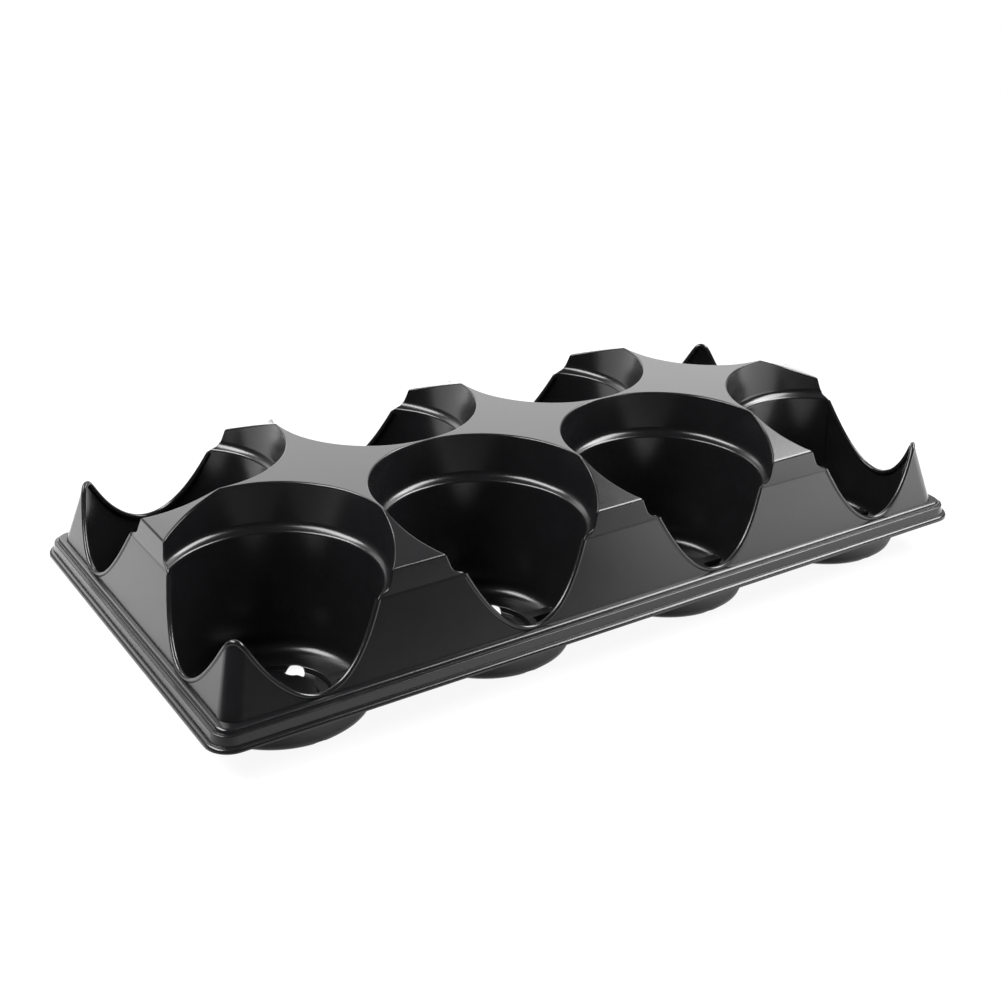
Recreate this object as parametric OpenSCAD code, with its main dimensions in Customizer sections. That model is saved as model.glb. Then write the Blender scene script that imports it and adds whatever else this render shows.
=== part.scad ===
// Carry tray for eight round plant pots, formed from one sheet of black plastic.
// Two rows of tapered pockets hang from a hipped deck. A skirt falls from the deck
// to a stepped rim, and each outer pocket opens through the skirt beside it.
// The sheet stands on the lobes under the pocket floors, at z = 0.

/* [Layout] */
// Pockets along the tray
cols = 4; // [2:1:6]
// Rows of pockets
rows = 2; // [1:1:3]
// Distance between pocket centres, both ways
pitch = 128; // [110:1:150]
// Width of the web left between two pocket mouths
neck_w = 1.2; // [0.8:0.1:6]

/* [Sheet] */
// Thickness of the formed sheet
sheet_t = 1; // [0.7:0.1:1.6]

/* [Deck] */
// Height of the deck over the ground
deck_z = 98.5; // [88:0.5:120]
// Reach of the deck past the outer pocket centres
deck_over = 39; // [34:0.5:41]
// Fall of the hipped deck from the outer pocket centres to its edge
deck_fall = 14.6; // [8:0.1:18]
// Rounding of the deck's outer edge
deck_r = 1.3; // [1.1:0.1:1.6]

/* [Pocket] */
// Height of the wide band above the pot ledge
band_h = 25; // [20:0.5:32]
// Draft of the wide band, in width for each unit of height
band_draft = 0.12; // [0.05:0.01:0.2]
// Width of the pot ledge
ledge_w = 4.2; // [2:0.1:6]
// Fall of the pot ledge across its width
ledge_fall = 2.5; // [1:0.1:4]
// Draft of the pocket wall under the ledge
wall_draft = 0.096; // [0.05:0.001:0.13]
// Radius between the pocket wall and its floor, inside
heel_r = 7; // [5:0.5:12]
// Rounding of the ledge, inside its bends
ledge_r = 1.2; // [0.6:0.1:1.5]

/* [Floor] */
// Height of the ribs, ridge and disc over the pocket floor
rib_h = 3; // [1.5:0.1:5]
// Width of a rib across its flat top
rib_w = 6; // [4.5:0.5:10]
// Ribs in each pocket floor
rib_count = 4; // [2:1:6]
// Radius of the raised disc in the middle of the floor
disc_r = 20.5; // [14:0.5:23]
// Width of the gutter round the disc
gutter_w = 8.5; // [6:0.5:9]
// Width of the ring ridge between the gutter and the lobes
ridge_w = 4.5; // [4:0.5:6]
// Width that each raised edge takes as it falls to the floor
slope_w = 1.2; // [0.6:0.1:1.6]
// Diameter of a drain hole
drain_d = 11.5; // [5:0.5:12]
// Drain holes in each pocket floor
drain_count = 4; // [1:1:4]

/* [Skirt] */
// Draft of the short face between the deck and the step
face_draft = 0.2; // [0.05:0.01:0.35]
// Width of the step, level with the pot ledge
step_w = 1; // [0.5:0.1:2]
// Draft of the skirt under the step
skirt_draft = 0.279; // [0.15:0.001:0.32]
// Radius of the skirt's corners at its foot
skirt_r = 10; // [8:0.5:14]
// Radius of the skirt's corners at its top, where they end in horns
horn_r = 8; // [6:0.5:12]

/* [Rim] */
// Height of the rim's lower edge over the ground
rim_z = 22; // [14:0.5:28]
// Height of the shelf over the rim's lower edge
shelf_h = 12.2; // [10:0.1:16]
// Width of the shelf round the foot of the skirt
shelf_w = 4.9; // [3.5:0.1:8]
// Height of the middle tier over the rim's lower edge
tier_h = 7.9; // [6:0.1:8.5]
// Width of the middle tier
tier_w = 0.9; // [0.6:0.1:2]
// Width of the flange
flange_w = 4.2; // [3:0.1:7]
// Height of the lip at the outer edge
lip_h = 2.4; // [2:0.1:4]
// Radius of the rim's corners, at the outer edge
rim_r = 14; // [12:0.5:20]
// Rounding of the shelf's outer edge
shelf_round = 1.6; // [1.2:0.1:2.2]
// Rounding of the lip and the middle tier
lip_round = 1.3; // [1.1:0.1:1.6]

/* [Hidden] */

// Overlap that cuts and joins run past a face
over = 1;
// Facets of a full turn
turn_fn = 96;
// Facets of a full turn at the skirt's corners
corner_fn = 32;
// Straight lines in one rounded bend
bend_steps = 4;

// Half distances between the outer pocket centres
half_x = (cols - 1) * pitch / 2;
half_y = (rows - 1) * pitch / 2;

// Heights
edge_z = deck_z - deck_fall;
ledge_top_z = deck_z - band_h;
ledge_low_z = ledge_top_z - ledge_fall;
step_z = ledge_top_z - ledge_fall / 2;
shelf_z = rim_z + shelf_h;
floor_z = sheet_t;
rib_z = floor_z + rib_h;

// Radii of the pocket, inside
mouth_r = (pitch - neck_w) / 2;
ledge_out_r = mouth_r - band_draft * band_h;
ledge_in_r = ledge_out_r - ledge_w;
heel_out_r = ledge_in_r - wall_draft * (ledge_low_z - floor_z);
gutter_in_r = disc_r + slope_w;
gutter_out_r = disc_r + gutter_w - slope_w;
ridge_in_r = disc_r + gutter_w;
ridge_out_r = ridge_in_r + ridge_w;
drain_r = disc_r + gutter_w / 2;

// Reach of the outer faces past the outer pocket centres
step_in = deck_over + face_draft * (edge_z - ledge_top_z);
step_out = step_in + step_w;
foot_out = step_out + skirt_draft * (ledge_low_z - shelf_z);
rim_out = foot_out + shelf_w + tier_w + flange_w;

// Share of the sheet's thickness that a face leaning by a draft takes across
function across(draft) = sheet_t * sqrt(1 + draft * draft);

// A point moved along the way from one point to another
function toward(a, b, d) = a + (b - a) * d / norm(b - a);

// The points of a bend of radius r at p, between the points before and after it
function bend(a, p, b, r) =
    let (
        ua = (a - p) / norm(a - p),
        ub = (b - p) / norm(b - p),
        half = acos(ua * ub) / 2,
        middle = p + (ua + ub) / norm(ua + ub) * r / sin(half),
        from = toward(p, a, r / tan(half)) - middle,
        to = toward(p, b, r / tan(half)) - middle,
        start = atan2(from[1], from[0]),
        sweep = atan2(to[1], to[0]) - start,
        turn = sweep > 180 ? sweep - 360 : sweep < -180 ? sweep + 360 : sweep
    )
    [for (i = [0:bend_steps]) middle + r * [cos(start + turn * i / bend_steps), sin(start + turn * i / bend_steps)]];

// A line through corners given as [across, up, radius], with each corner rounded
function rounded_line(c) = [
    for (i = [0:len(c) - 1])
        let (p = [c[i][0], c[i][1]])
        each i == 0 || i == len(c) - 1 || c[i][2] == 0 ? [p]
            : bend([c[i - 1][0], c[i - 1][1]], p, [c[i + 1][0], c[i + 1][1]], c[i][2])
];

// Stands a copy of its child at each pocket centre
module at_pockets() {
    for (i = [0:cols - 1], j = [0:rows - 1])
        translate([i * pitch - half_x, j * pitch - half_y, 0]) children();
}

// One pocket as a solid, grown by the thickness given: 0 for its hollow, sheet_t for its body
module pocket_form(grow) {
    lean = across(wall_draft) * grow / sheet_t;
    top_z = deck_z + over;
    outline = rounded_line([
        [0, top_z, 0],
        [mouth_r + lean + band_draft * over, top_z, 0],
        [ledge_out_r + lean, ledge_top_z - grow, ledge_r + sheet_t - grow],
        [ledge_in_r + lean, ledge_low_z - grow, ledge_r + grow],
        [heel_out_r + lean, floor_z - grow, heel_r + grow],
        [ridge_out_r + slope_w + grow, floor_z - grow, 0],
        [ridge_out_r - grow / 2, rib_z - grow, 0],
        [ridge_in_r + grow / 2, rib_z - grow, 0],
        [gutter_out_r - grow / 2, floor_z - grow, 0],
        [gutter_in_r + grow / 2, floor_z - grow, 0],
        [disc_r - grow / 2, rib_z - grow, 0],
        [0, rib_z - grow, 0]
    ]);
    difference() {
        rotate_extrude($fn = turn_fn) polygon(outline);
        for (i = [0:rib_count - 1])
            rotate([0, 0, i * 360 / rib_count]) rib_form(grow);
    }
}

// One rib across the lobes, from the ring ridge out through the wall, shrunk by the thickness given
module rib_form(shrink) {
    half = rib_w / 2 - shrink / 2;
    base_z = -over;
    spread = slope_w / rib_h * (rib_z - shrink - base_z);
    translate([ridge_in_r + ridge_w / 2, 0, 0])
        rotate([90, 0, 90])
        linear_extrude(heel_out_r - ridge_in_r)
        polygon([
            [-half - spread, base_z], [half + spread, base_z],
            [half, rib_z - shrink], [-half, rib_z - shrink]
        ]);
}

// A rectangle with rounded corners, centred
module rounded_plan(reach_x, reach_y, r) {
    square([2 * reach_x, 2 * (reach_y - r)], center = true);
    square([2 * (reach_x - r), 2 * reach_y], center = true);
    for (sx = [-1, 1], sy = [-1, 1])
        translate([sx * (reach_x - r), sy * (reach_y - r)]) circle(r, $fn = turn_fn);
}

// The right half of the deck and the short face under it, from its middle out and down
function deck_side(half, shrink) =
    let (side = across(face_draft) * shrink / sheet_t)
    rounded_line([
        [0, deck_z - shrink, 0],
        [half, deck_z - shrink, 0],
        [half + deck_over - side, edge_z - shrink, deck_r - shrink],
        [half + step_in - side, ledge_top_z - shrink, 0],
        [half + step_in - side, step_z - 2 * shrink, 0]
    ]);

// The outline of the deck and its short faces across one direction, shrunk by the thickness given
module deck_outline(half, shrink) {
    right = deck_side(half, shrink);
    left = [for (i = [len(right) - 1:-1:1]) [-right[i][0], right[i][1]]];
    polygon(concat(left, right));
}

// The hipped deck and its short faces, solid, shrunk by the thickness given
module deck_block(shrink) {
    long = 2 * (half_x + deck_over + pitch);
    wide = 2 * (half_y + deck_over + pitch);
    corner = step_in + step_w / 2 - shrink;
    intersection() {
        translate([0, wide / 2, 0]) rotate([90, 0, 0])
            linear_extrude(wide) deck_outline(half_x, shrink);
        translate([-long / 2, 0, 0]) rotate([90, 0, 90])
            linear_extrude(long) deck_outline(half_y, shrink);
        linear_extrude(deck_z + over)
            rounded_plan(half_x + corner, half_y + corner, horn_r + step_w / 2);
    }
}

// The skirt from the step to the shelf, solid, shrunk by the thickness given
module skirt_block(shrink) {
    side = across(skirt_draft) * shrink / sheet_t;
    top_z = step_z - shrink;
    low_z = shelf_z - sheet_t - shrink;
    slice = 0.01;
    top_in = foot_out - skirt_draft * (top_z - shelf_z) - side - horn_r;
    low_in = foot_out + skirt_draft * (shelf_z - low_z) - side - skirt_r;
    hull()
        for (sx = [-1, 1], sy = [-1, 1]) {
            translate([sx * (half_x + top_in), sy * (half_y + top_in), top_z - slice])
                cylinder(r = horn_r, h = slice, $fn = corner_fn);
            translate([sx * (half_x + low_in), sy * (half_y + low_in), low_z])
                cylinder(r = skirt_r, h = slice, $fn = corner_fn);
        }
}

// The section of the rim: lip, flange, middle tier and shelf, across from its corner centre
module rim_section() {
    t = sheet_t;
    foot = rim_r - flange_w;
    tier = foot - tier_w;
    inner = 1;
    outside = rounded_line([
        [inner, shelf_h, 0],
        [tier, shelf_h, shelf_round],
        [tier, tier_h, tier_w / 2],
        [foot, tier_h, tier_w / 2],
        [foot, lip_h, lip_round - t / 2],
        [rim_r, lip_h, lip_round],
        [rim_r, 0, 0]
    ]);
    inside = rounded_line([
        [rim_r - t, 0, 0],
        [rim_r - t, lip_h - t, lip_round - t],
        [foot - t, lip_h - t, lip_round + t / 2],
        [foot - t, tier_h - t, 0],
        [tier - t, tier_h - t, 0],
        [tier - t, shelf_h - t, shelf_round - t],
        [inner, shelf_h - t, 0]
    ]);
    translate([0, rim_z]) polygon(concat(outside, inside));
}

// The rim's section swept round the tray
module rim() {
    cx = half_x + rim_out - rim_r;
    cy = half_y + rim_out - rim_r;
    for (side = [0, 1], end = [0, 1]) {
        mirrored = end * 180;
        rotate([0, 0, mirrored]) {
            if (side == 0) translate([cx, cy, 0]) rotate([90, 0, 0])
                linear_extrude(2 * cy) rim_section();
            if (side == 1) translate([-cx, cy, 0]) rotate([90, 0, 90])
                linear_extrude(2 * cx) rim_section();
            translate([cx, (1 - 2 * side) * cy, 0]) rotate([0, 0, -90 * side])
                rotate_extrude(angle = 90, $fn = turn_fn) rim_section();
        }
    }
}

// The pocket bodies below the shelf
module pocket_feet() {
    intersection() {
        at_pockets() pocket_form(sheet_t);
        translate([-half_x - pitch, -half_y - pitch, -over])
            cube([2 * (half_x + pitch), 2 * (half_y + pitch), shelf_z + over]);
    }
}

// The drain holes of one pocket
module drains() {
    for (i = [0:drain_count - 1])
        rotate([0, 0, 45 + i * 360 / drain_count])
            translate([drain_r, 0, -over]) cylinder(d = drain_d, h = rib_z + over, $fn = turn_fn);
}

module tray() {
    color([0.09, 0.09, 0.1])
        difference() {
            union() {
                deck_block(0);
                skirt_block(0);
                rim();
                pocket_feet();
            }
            difference() {
                union() {
                    deck_block(sheet_t);
                    skirt_block(sheet_t);
                }
                at_pockets() pocket_form(sheet_t);
            }
            at_pockets() pocket_form(0);
            at_pockets() drains();
        }
}

tray();
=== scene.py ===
"""Carry tray for plant pots, formed from one sheet of satin black plastic.

The sheet's upper side is a block with eight pockets cut from it and every fold rounded. A thinner
block, cut round the same pockets, is then taken out from below and leaves the sheet.
"""
import math

import bmesh
import bpy
from mathutils import Matrix, Vector


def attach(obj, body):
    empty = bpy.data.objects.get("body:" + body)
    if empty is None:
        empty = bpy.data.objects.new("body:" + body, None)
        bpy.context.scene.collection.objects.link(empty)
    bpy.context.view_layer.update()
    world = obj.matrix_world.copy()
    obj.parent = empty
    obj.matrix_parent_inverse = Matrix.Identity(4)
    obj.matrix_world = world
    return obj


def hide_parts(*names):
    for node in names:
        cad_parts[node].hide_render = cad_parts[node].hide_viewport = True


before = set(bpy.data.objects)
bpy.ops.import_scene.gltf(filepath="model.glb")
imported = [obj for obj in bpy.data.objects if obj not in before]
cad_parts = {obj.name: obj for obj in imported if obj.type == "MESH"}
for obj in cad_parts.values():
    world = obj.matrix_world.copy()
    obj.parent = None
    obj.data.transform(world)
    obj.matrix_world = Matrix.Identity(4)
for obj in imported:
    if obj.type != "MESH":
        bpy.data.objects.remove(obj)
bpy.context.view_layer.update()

MM = 0.001

# Layout
PITCH = 128 * MM
HALF = Vector((1.5 * PITCH, 0.5 * PITCH))
CENTRES = [Vector((x * PITCH, y * PITCH, 0)) for x in (-1.5, -0.5, 0.5, 1.5) for y in (-0.5, 0.5)]
NECK_W, SHEET_T = 1.2 * MM, 1 * MM

# Heights
DECK_Z = 98.5 * MM
EDGE_Z = DECK_Z - 14.6 * MM
LEDGE_TOP = DECK_Z - 25 * MM
LEDGE_LOW = LEDGE_TOP - 2.5 * MM
RIM_Z = 22 * MM
SHELF_Z = RIM_Z + 10.2 * MM
TIER_Z = RIM_Z + 7.9 * MM
LIP_Z = RIM_Z + 2.4 * MM
FLOOR_Z = SHEET_T
RIB_Z = FLOOR_Z + 3 * MM

# Drafts, in width for each unit of height
FACE_DRAFT, SKIRT_DRAFT, BAND_DRAFT, WALL_DRAFT = 0.2, 0.279, 0.12, 0.096

# Reach of the outer faces past the outer pocket centres, and plan radii of the corners
DECK_OVER = 39 * MM
STEP_IN = DECK_OVER + FACE_DRAFT * (EDGE_Z - LEDGE_TOP)
STEP_OUT = STEP_IN + 1 * MM
FOOT = STEP_OUT + SKIRT_DRAFT * (LEDGE_LOW - SHELF_Z)
TIER = FOOT + 3.9 * MM
FLANGE = TIER + 1.9 * MM
RIM = STEP_OUT + 20.267 * MM
LEAN = 0.9 * MM
RIM_R, FOOT_R, HORN_R, LEAST_R = 14 * MM, 10 * MM, 8 * MM, 0.5 * MM

# Radii of a pocket
MOUTH_R = (PITCH - NECK_W) / 2
LEDGE_OUT = MOUTH_R - BAND_DRAFT * (DECK_Z - LEDGE_TOP)
LEDGE_IN = LEDGE_OUT - 4.2 * MM
HEEL = LEDGE_IN - WALL_DRAFT * (LEDGE_LOW - FLOOR_Z)
DISC_R, GUTTER_W, RIDGE_W, SLOPE_W = 20.5 * MM, 8.5 * MM, 4.5 * MM, 1.2 * MM
RIDGE_IN = DISC_R + GUTTER_W
RIDGE_OUT = RIDGE_IN + RIDGE_W
RIB_W = 6 * MM
DRAIN_R, DRAIN_D = DISC_R + GUTTER_W / 2, 11.5 * MM

# Rounding of the folds, seen from above
LIP_ROUND, TIER_ROUND, SHELF_ROUND, EDGE_ROUND = 1.9 * MM, 0.6 * MM, 2.1 * MM, 1.9 * MM
CREASE, STEP_ROUND, RELIEF_ROUND = 0.15 * MM, 0.5 * MM, 0.6 * MM
SEAT_ROUND, SEAT_EDGE, HEEL_ROUND = 5 * MM, 1.8 * MM, 7 * MM
UNDER_ROUND = 0.5 * MM
FOLD_R = 1.2 * MM
ROLL_R, ROLL_SINK, ROLL_SPACING = 1.6 * MM, 0.6, 1.5 * MM

# Steps round a pocket, round the pocket's body below and round a corner, chosen for a closed mesh
TURN, UNDER_TURN, CORNER_STEPS = 128, 100, 9
DRAIN_STEPS = 48


# Shapes

def bend(before, corner, after, radius, steps):
    """Points of an arc of that radius that rounds the corner between two points."""
    if radius <= 0:
        return [corner]
    one, two = (before - corner).normalized(), (after - corner).normalized()
    half = one.angle(two) / 2
    middle = corner + (one + two).normalized() * radius / math.sin(half)
    start = corner + one * radius / math.tan(half) - middle
    end = corner + two * radius / math.tan(half) - middle
    sweep = start.angle_signed(end)
    return [middle + Matrix.Rotation(-sweep * i / steps, 2) @ start for i in range(steps + 1)]


def rounded_line(corners, steps=4):
    """A line through corners of (across, up, radius), with each inner corner rounded."""
    points = [Vector(c[:2]) for c in corners]
    line = [points[0]]
    for i in range(1, len(points) - 1):
        line += bend(points[i - 1], points[i], points[i + 1], corners[i][2], steps)
    return line + [points[-1]]


def mesh_object(name, bm):
    mesh = bpy.data.meshes.new(name)
    bm.to_mesh(mesh)
    bm.free()
    obj = bpy.data.objects.new(name, mesh)
    bpy.context.scene.collection.objects.link(obj)
    return obj


def apply_modifiers(obj):
    """Bakes an object's modifiers into its mesh."""
    graph = bpy.context.evaluated_depsgraph_get()
    mesh = bpy.data.meshes.new_from_object(obj.evaluated_get(graph))
    obj.modifiers.clear()
    obj.data = mesh


def cut(target, tool):
    """Cuts a tool away from a target, and removes the tool."""
    mod = target.modifiers.new("cut", "BOOLEAN")
    mod.operation = "DIFFERENCE"
    mod.solver = "EXACT"
    mod.object = tool
    apply_modifiers(target)
    bpy.data.objects.remove(tool)


def copies(name, obj, places):
    """One object from copies of another's mesh at each place."""
    bm = bmesh.new()
    for place in places:
        first = len(bm.verts)
        bm.from_mesh(obj.data)
        bm.verts.ensure_lookup_table()
        bmesh.ops.translate(bm, verts=bm.verts[first:], vec=place)
    bpy.data.objects.remove(obj)
    return mesh_object(name, bm)


def place_ring(verts, reach, z, radius):
    """Lays a loop of points out as a rounded rectangle round the tray, from its right back corner."""
    per_corner = len(verts) // 4
    for i, vert in enumerate(verts):
        corner, step = divmod(i, per_corner)
        angle = math.radians(90 * corner + 90 * step / (per_corner - 1))
        side = Vector((1 if corner in (0, 3) else -1, 1 if corner < 2 else -1))
        vert.co = (side.x * (HALF.x + reach - radius) + radius * math.cos(angle),
                   side.y * (HALF.y + reach - radius) + radius * math.sin(angle), z)


def corner_radius(reach, z):
    """Plan radius of the tray's corners at a place on its section."""
    if reach > TIER - 3 * MM:
        return RIM_R - (RIM - reach)
    share = min(max((z - SHELF_Z) / (LEDGE_LOW - SHELF_Z), 0), 1)
    return FOOT_R + (HORN_R - FOOT_R) * share


def ringed_block(name, profile):
    """A closed block whose rounded rectangular rings follow a profile of (reach, height)."""
    bm = bmesh.new()
    loop = bmesh.ops.create_circle(bm, cap_ends=True, segments=4 * (CORNER_STEPS + 1), radius=1)["verts"]
    top = bm.faces[:][0]
    for number, (reach, z) in enumerate(profile):
        if number:
            made = bmesh.ops.extrude_face_region(bm, geom=[top])["geom"]
            if number > 1:
                bm.faces.remove(top)
            top = next(g for g in made if isinstance(g, bmesh.types.BMFace))
            above = set(top.verts)
            loop = [next(e.other_vert(v) for e in v.link_edges if e.other_vert(v) in above) for v in loop]
        place_ring(loop, reach, z, max(corner_radius(reach, z), LEAST_R))
    bmesh.ops.recalc_face_normals(bm, faces=bm.faces)
    return mesh_object(name, bm)


def turned(name, line, steps):
    """A closed solid turned about the upright axis from a line of (radius, height)."""
    bm = bmesh.new()
    verts = [bm.verts.new((x, 0, z)) for x, z in line]
    edges = [bm.edges.new(pair) for pair in zip(verts, verts[1:])]
    bmesh.ops.spin(bm, geom=verts + edges, axis=(0, 0, 1), cent=(0, 0, 0), steps=steps,
                   angle=math.tau, use_merge=True)
    bmesh.ops.remove_doubles(bm, verts=bm.verts, dist=1e-6)
    bmesh.ops.recalc_face_normals(bm, faces=bm.faces)
    return mesh_object(name, bm)


def ribs(shrink, rounding):
    """Four ribs across the lobes of a pocket floor, as a cutter, shrunk by the thickness given."""
    half, base_z, top_z = RIB_W / 2 - shrink / 2, -2 * MM, RIB_Z - shrink + 0.03 * MM
    spread = SLOPE_W / (RIB_Z - FLOOR_Z) * (top_z - base_z)
    right = rounded_line([(0, top_z, 0), (half, top_z, rounding), (half + spread, base_z, 0)], steps=3)
    section = [Vector((-p.x, p.y)) for p in reversed(right[1:])] + right
    start = RIDGE_IN + RIDGE_W / 2
    bm = bmesh.new()
    for turn in range(4):
        face = bm.faces.new([bm.verts.new((start, y, z)) for y, z in section])
        made = bmesh.ops.extrude_face_region(bm, geom=[face], use_keep_orig=True)["geom"]
        far = [g for g in made if isinstance(g, bmesh.types.BMVert)]
        bmesh.ops.translate(bm, verts=far, vec=(HEEL - RIDGE_IN, 0, 0))
        bmesh.ops.rotate(bm, verts=bm.verts, cent=(0, 0, 0), matrix=Matrix.Rotation(math.pi / 2, 3, "Z"))
    bmesh.ops.recalc_face_normals(bm, faces=bm.faces)
    return mesh_object("ribs", bm)


def pocket(grow, steps, rounding):
    """One pocket as a solid at the origin: its hollow, or with the sheet's thickness, its body."""
    t = SHEET_T if grow else 0
    above = 3 * MM
    line = rounded_line([
        (0, DECK_Z + above, 0),
        (MOUTH_R + t + BAND_DRAFT * above, DECK_Z + above, 0),
        (LEDGE_OUT + t, LEDGE_TOP + 0.2 * MM - t, SEAT_ROUND - t),
        (LEDGE_IN + t, LEDGE_LOW + 0.9 * MM - t, SEAT_EDGE + t),
        (HEEL + t, FLOOR_Z - t, HEEL_ROUND + t),
        (RIDGE_OUT + SLOPE_W + t, FLOOR_Z - t, rounding),
        (RIDGE_OUT - t / 2, RIB_Z - t, rounding),
        (RIDGE_IN + t / 2, RIB_Z - t, rounding),
        (RIDGE_IN - SLOPE_W - t / 2, FLOOR_Z - t, rounding),
        (DISC_R + SLOPE_W + t / 2, FLOOR_Z - t, rounding),
        (DISC_R - t / 2, RIB_Z - t, rounding),
        (0, RIB_Z - t, 0),
    ], steps=4 if rounding else 3)
    form = turned("pocket", line, steps)
    cut(form, ribs(t, rounding))
    return form


# The sheet's upper side: a block, its pockets cut from it, every fold rounded

def upper_block():
    """The tray's outer form, from below its rim up over the lip, tier, shelf, skirt, step and deck."""
    profile = rounded_line([
        (RIM, -5 * MM, 0),
        (RIM, LIP_Z, LIP_ROUND),
        (FLANGE + LEAN, LIP_Z, CREASE),
        (FLANGE, TIER_Z, TIER_ROUND),
        (TIER, TIER_Z, CREASE),
        (TIER, SHELF_Z, SHELF_ROUND),
        (FOOT, SHELF_Z, 0),
        (STEP_OUT - 0.1 * MM, LEDGE_LOW - 0.7 * MM, STEP_ROUND),
        (STEP_IN + 0.45 * MM, LEDGE_LOW + 0.4 * MM, STEP_ROUND),
        (DECK_OVER, EDGE_Z, EDGE_ROUND),
        (0, DECK_Z, 0),
    ])
    return ringed_block("upper", profile)


def cut_edges(bm):
    """The edges where a pocket's wall meets the block."""
    return [e for e in bm.edges if len(e.link_faces) == 2
            and e.link_faces[0].material_index != e.link_faces[1].material_index]


def round_cuts(obj):
    """Rounds the edges of the cuts, less where the web between two mouths is narrow."""
    necks = [Vector((x * PITCH / 2, y * PITCH / 2, DECK_Z)) for x in range(-3, 4) for y in (-1, 0, 1)
             if (x + y) % 2]
    least, near, spread = 0.4, 6 * MM, 14 * MM
    bm = bmesh.new()
    bm.from_mesh(obj.data)
    rims = list({v for e in cut_edges(bm) for v in e.verts})
    bmesh.ops.remove_doubles(bm, verts=rims, dist=0.25 * MM)
    bmesh.ops.dissolve_degenerate(bm, dist=0.05 * MM, edges=bm.edges)
    weight = bm.edges.layers.float.new("bevel_weight_edge")
    for e in cut_edges(bm):
        middle = (e.verts[0].co + e.verts[1].co) / 2
        gap = min((middle - n).length for n in necks)
        e[weight] = least + (1 - least) * min(max((gap - near) / spread, 0), 1)
    bm.to_mesh(obj.data)
    bm.free()
    mod = obj.modifiers.new("folds", "BEVEL")
    mod.limit_method = "WEIGHT"
    mod.width = FOLD_R
    mod.segments = 4
    mod.use_clamp_overlap = False
    mod.loop_slide = True
    apply_modifiers(obj)


def rolled_edges(upper):
    """The rolled edges where the pockets break out through the skirt, one for each pocket.

    A roll's axis lies behind the skirt's face, so that the roll stands a little proud of the face and
    reaches further into the pocket.
    """
    bm = bmesh.new()
    bm.from_mesh(upper.data)
    points = {v for e in cut_edges(bm) for v in e.verts if v.co.z < LEDGE_LOW + 0.4 * MM}
    curve = bpy.data.curves.new("rolled_edges", "CURVE")
    curve.dimensions = "3D"
    curve.bevel_depth = ROLL_R
    curve.bevel_resolution = 5
    curve.use_fill_caps = True
    for centre in CENTRES:
        at_end = abs(centre.x) > PITCH
        outward = Vector((math.copysign(1, centre.x) * at_end, math.copysign(1, centre.y)))
        own = []
        for v in points:
            away = v.co.xy - centre.xy
            if away.length < PITCH / 2:
                wall, outside = (sum((f.normal for f in v.link_faces if f.material_index == side),
                                     Vector()).normalized() for side in (1, 0))
                inward = (wall.dot(outside) * outside - wall).normalized()
                place = v.co + (inward - outside) * ROLL_SINK * ROLL_R
                own.append((outward.angle_signed(away), place))
        line = []
        for angle, place in sorted(own, key=lambda item: item[0]):
            if not line or (place - line[-1]).length > ROLL_SPACING:
                line.append(place)
        for smoothing in range(2):
            inner = [(a + 2 * b + c) / 4 for a, b, c in zip(line, line[1:], line[2:])]
            line = [line[0]] + inner + [line[-1]]
        spline = curve.splines.new("POLY")
        spline.points.add(len(line) - 1)
        for point, place in zip(spline.points, line):
            point.co = (*place, 1)
    bm.free()
    obj = bpy.data.objects.new("rolled_edges", curve)
    mesh = bpy.data.meshes.new_from_object(obj)
    bpy.data.objects.remove(obj)
    return mesh


def sheet_upper():
    """The finished upper side, still solid below, and the mesh of its rolled edges."""
    upper = upper_block()
    hollow = pocket(False, TURN, RELIEF_ROUND)
    for face in hollow.data.polygons:
        face.material_index = 1
    cut(upper, copies("hollows", hollow, CENTRES))
    edges = rolled_edges(upper)
    round_cuts(upper)
    return upper, edges


# The space under the sheet, which is cut out of the upper side

def under_block():
    """The space under the sheet, from beyond the rim's lower edge up to the deck's underside."""
    t, past = SHEET_T, 5 * MM
    profile = rounded_line([
        (RIM + past, -9 * MM, 0),
        (RIM + past, RIM_Z, 0),
        (RIM - t, RIM_Z, 0),
        (RIM - t, LIP_Z - t, UNDER_ROUND),
        (FLANGE - t, LIP_Z - t, 0),
        (FLANGE - t, TIER_Z - t, 0),
        (TIER - t, TIER_Z - t, 0),
        (TIER - t, SHELF_Z - t, 0.6 * MM),
        (FOOT - t, SHELF_Z - t, 0),
        (STEP_OUT - t, LEDGE_LOW - t, 0),
        (STEP_IN - t, LEDGE_TOP - t, 0),
        (DECK_OVER - t, EDGE_Z - t, UNDER_ROUND),
        (0, DECK_Z - t, 0),
    ], steps=3)
    return ringed_block("under", profile)


def drains():
    """Cutters for the four drain holes of every pocket."""
    bm = bmesh.new()
    for turn in range(4):
        place = Matrix.Rotation(math.radians(45 + 90 * turn), 4, "Z") @ Matrix.Translation((DRAIN_R, 0, 0))
        bmesh.ops.create_cone(bm, cap_ends=True, segments=DRAIN_STEPS, radius1=DRAIN_D / 2,
                              radius2=DRAIN_D / 2, depth=20 * MM, matrix=place)
    return copies("drains", mesh_object("drain", bm), CENTRES)


def build_sheet():
    """The whole sheet. The bodies that touch are cut in two turns, chequered, so that none overlap."""
    sheet, edges = sheet_upper()
    under = under_block()
    for group in (0, 1):
        places = [c for i, c in enumerate(CENTRES) if (i // 2 + i) % 2 == group]
        cut(under, copies("bodies", pocket(True, UNDER_TURN, 0), places))
    cut(sheet, under)
    cut(sheet, drains())
    bm = bmesh.new()
    bm.from_mesh(edges)
    bmesh.ops.remove_doubles(bm, verts=bm.verts, dist=0.01 * MM)
    bm.from_mesh(sheet.data)
    bm.to_mesh(sheet.data)
    bm.free()
    sheet.name = sheet.data.name = "formed_sheet"
    return sheet


# Materials

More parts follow.
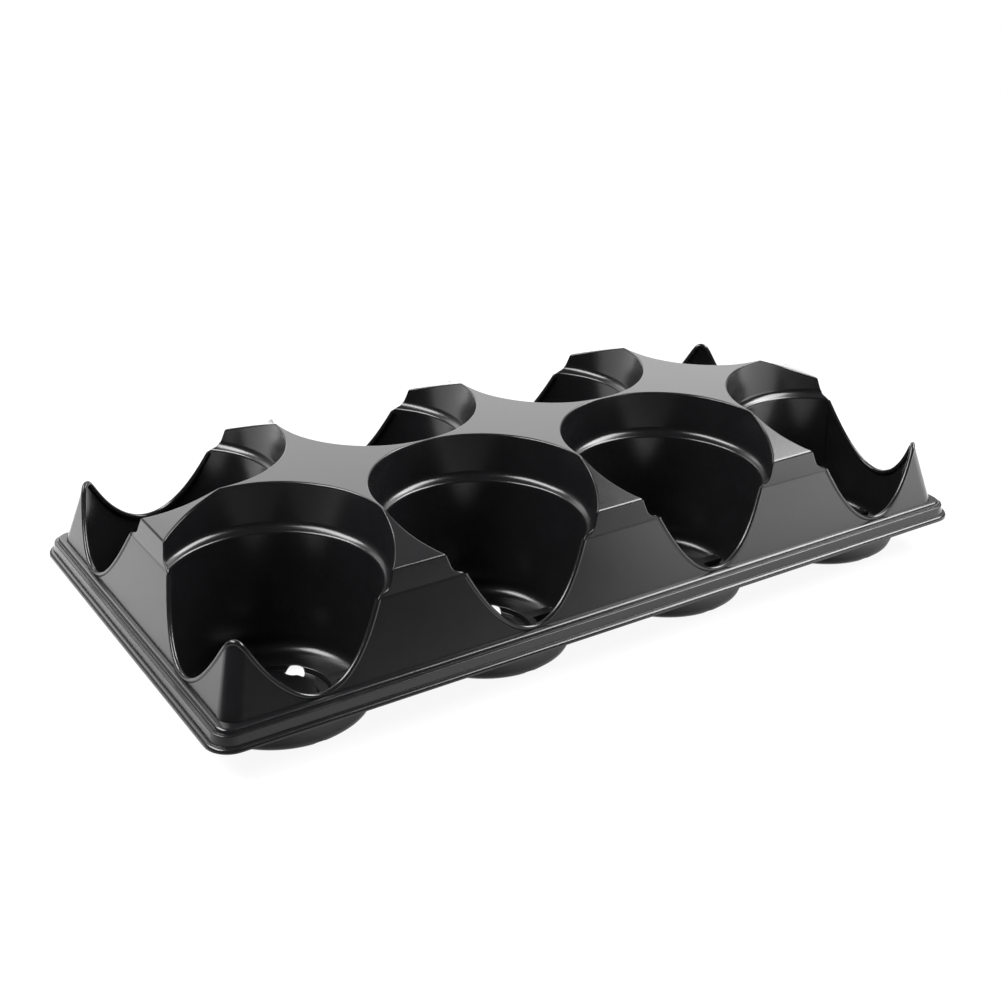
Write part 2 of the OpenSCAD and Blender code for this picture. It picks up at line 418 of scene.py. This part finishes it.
class Wire:
    """A socket in a material, on which arithmetic adds the Math nodes."""

    def __init__(self, tree, socket):
        self.tree, self.socket = tree, socket

    def maths(self, operation, *values):
        return add(self.tree, "ShaderNodeMath", {"operation": operation}, dict(enumerate(values)))

    def __add__(self, other):
        return self.maths("ADD", self, other)

    def __radd__(self, other):
        return self.maths("ADD", other, self)

    def __sub__(self, other):
        return self.maths("SUBTRACT", self, other)

    def __rsub__(self, other):
        return self.maths("SUBTRACT", other, self)

    def __mul__(self, other):
        return self.maths("MULTIPLY", self, other)

    def __rmul__(self, other):
        return self.maths("MULTIPLY", other, self)


def add(tree, kind, settings, sockets, output=0):
    """Adds one node: its settings first, then its sockets' values or links. Returns one output."""
    node = tree.nodes.new(kind)
    for name, value in settings.items():
        setattr(node, name, value)
    for name, value in sockets.items():
        if isinstance(value, Wire):
            tree.links.new(value.socket, node.inputs[name])
        else:
            node.inputs[name].default_value = value
    return Wire(tree, node.outputs[output])


def new_material(name):
    material = bpy.data.materials.new(name)
    material.use_nodes = True
    material.node_tree.nodes.clear()
    return material, material.node_tree


def finish(tree, shader):
    out = tree.nodes.new("ShaderNodeOutputMaterial")
    tree.links.new(shader.socket, out.inputs["Surface"])


def blend(tree, share, first, second):
    """A colour mixed from two others."""
    return add(tree, "ShaderNodeMix", {"data_type": "RGBA"}, {0: share, 6: first, 7: second}, 2)


def satin_black():
    """Pressure-formed black plastic: a fine even grain, faint flow and a soft uneven sheen."""
    material, tree = new_material("satin_black_sheet")
    place = add(tree, "ShaderNodeTexCoord", {}, {}, "Object")
    grain, drift, cloud = (
        add(tree, "ShaderNodeTexNoise", {}, {
            "Vector": place, "Scale": scale, "Detail": detail, "Roughness": roughness})
        for scale, detail, roughness in ((1400, 2, 0.6), (14, 3, 0.5), (70, 4, 0.6)))
    rough = 0.22 + (drift - 0.5) * 0.08 + (cloud - 0.5) * 0.05 + (grain - 0.5) * 0.06
    colour = blend(tree, cloud, (0.003, 0.003, 0.0033, 1), (0.005, 0.005, 0.0055, 1))
    height = grain + drift * 0.6
    normal = add(tree, "ShaderNodeBump", {}, {"Strength": 0.3, "Distance": 0.04 * MM, "Height": height})
    shader = add(tree, "ShaderNodeBsdfPrincipled", {}, {
        "Base Color": colour, "Roughness": rough, "Normal": normal, "IOR": 1.5, "Specular IOR Level": 0.28})
    finish(tree, shader)
    return material


def floor_material():
    """A pale floor that reads as white and keeps part of the tray's shadow.

    In the tray's gloss it is dimmer on the camera's side: painted shade in the floor's colour, seen only by
    glossy rays, which darkens the tray's reflections there.
    """
    material, tree = new_material("pale_floor")
    towards_camera = (-0.555, -0.832, 0)
    # dark is the colour of the painted shade that the tray's gloss sees on the camera's side
    white, dark = 1, 0.12
    place = add(tree, "ShaderNodeTexCoord", {}, {}, "Object")
    path = tree.nodes.new("ShaderNodeLightPath")
    camera, glossy, through = (Wire(tree, path.outputs[n]) for n in
                               ("Is Camera Ray", "Is Glossy Ray", "Is Transmission Ray"))
    away = add(tree, "ShaderNodeVectorMath", {"operation": "LENGTH"}, {0: place}, 1)
    far = add(tree, "ShaderNodeMapRange", {}, {"Value": away, "From Min": 0.6, "From Max": 1.2})
    ahead = add(tree, "ShaderNodeVectorMath", {"operation": "DOT_PRODUCT"}, {0: place, 1: towards_camera}, 1)
    # Painted shade: for glossy rays only, the floor's colour darkens towards the camera, which dims the
    # tray's reflections on that side
    dim = glossy * add(tree, "ShaderNodeMapRange", {"interpolation_type": "SMOOTHSTEP"},
                       {"Value": ahead, "From Min": 0.18, "From Max": 0.42})
    diffuse, glow = (blend(tree, dim, (light, light, light, 1), (dark, dark, dark, 1))
                     for light in (0.9, white))
    seen = camera * (0.92 + far * 0.08) + glossy * 0.4 + through * 0.85
    finish(tree, add(tree, "ShaderNodeMixShader", {}, {
        0: seen, 1: add(tree, "ShaderNodeBsdfDiffuse", {}, {"Color": diffuse}),
        2: add(tree, "ShaderNodeEmission", {}, {"Color": glow, "Strength": 1.0})}))
    return material


# Pieces

sheet = build_sheet()
sheet.data.materials.clear()
sheet.data.materials.append(satin_black())
for face in sheet.data.polygons:
    face.material_index = 0
    face.use_smooth = True
sheet.data.set_sharp_from_angle(angle=math.radians(40))
soften = sheet.modifiers.new("even_normals", "WEIGHTED_NORMAL")
soften.keep_sharp = True
soften.weight = 60
apply_modifiers(sheet)
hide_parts("tray")
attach(sheet, "root")

# Floor, light and camera, in metres

bm = bmesh.new()
bmesh.ops.create_grid(bm, x_segments=1, y_segments=1, size=12)
floor = mesh_object("floor", bm)
floor.data.materials.append(floor_material())

world = bpy.data.worlds.new("studio")
bpy.context.scene.world = world
world.use_nodes = True
tree = world.node_tree
way = add(tree, "ShaderNodeTexCoord", {}, {}, "Generated")
behind = add(tree, "ShaderNodeVectorMath", {"operation": "DOT_PRODUCT"}, {0: way, 1: (0.25, 0.95, 0.0)}, 1)
lit = add(tree, "ShaderNodeMapRange", {"interpolation_type": "SMOOTHSTEP"},
          {"Value": behind, "From Min": 0.1, "From Max": 0.8, "To Min": 0.05, "To Max": 0.95})
tree.links.new(lit.socket, tree.nodes["Background"].inputs["Strength"])
tree.nodes["Background"].inputs["Color"].default_value = (1, 1, 1, 1)


def softbox(name, direction, distance, size, radiance):
    """A soft panel of light that faces the tray from a direction."""
    lamp = bpy.data.lights.new(name, "AREA")
    lamp.shape, lamp.size, lamp.size_y = "RECTANGLE", size[0], size[1]
    lamp.energy = radiance * math.pi * size[0] * size[1]
    obj = bpy.data.objects.new(name, lamp)
    bpy.context.scene.collection.objects.link(obj)
    way = Vector(direction).normalized()
    obj.matrix_world = Matrix.Translation(way * distance) @ way.to_track_quat("Z", "Y").to_matrix().to_4x4()
    obj.visible_camera = False


softbox("right_softbox", (0.61, -0.27, 0.75), 1.7, (1.38, 0.6), 27)
softbox("left_softbox", (-0.59, 0.17, 0.79), 1.7, (1.48, 0.6), 27)
softbox("back_panel", (0.35, 0.8, 0.5), 2.2, (2.2, 1.7), 2.25)
softbox("left_hip_panel", (-0.14, 0.83, 0.56), 2.1, (0.8, 0.6), 3.5)
softbox("right_hip_panel", (0.75, 0.18, 0.68), 2.1, (0.9, 0.7), 4)
softbox("side_panel", (0.78, -0.62, 0.11), 0.95, (0.75, 0.22), 4.8)


def photo_camera():
    """The photograph's view, solved from the tray's own corners."""
    azimuth, elevation, roll = (math.radians(a) for a in (-33.6935, 25.9956, 1.3448))
    target, distance = Vector((16.58, 41.23, 22)) * MM, 990.3 * MM
    back = Vector((math.sin(azimuth) * math.cos(elevation), -math.cos(azimuth) * math.cos(elevation),
                   math.sin(elevation)))
    camera = bpy.data.objects.new("camera", bpy.data.cameras.new("camera"))
    camera.data.lens, camera.data.sensor_width = 55.31, 36
    camera.data.clip_start = 0.01
    bpy.context.scene.collection.objects.link(camera)
    turn = (-back).to_track_quat("-Z", "Y").to_matrix() @ Matrix.Rotation(roll, 3, "Z")
    camera.matrix_world = Matrix.Translation(target + back * distance) @ turn.to_4x4()
    return camera


bpy.context.scene.camera = photo_camera()
bpy.context.scene.view_settings.view_transform = "Standard"
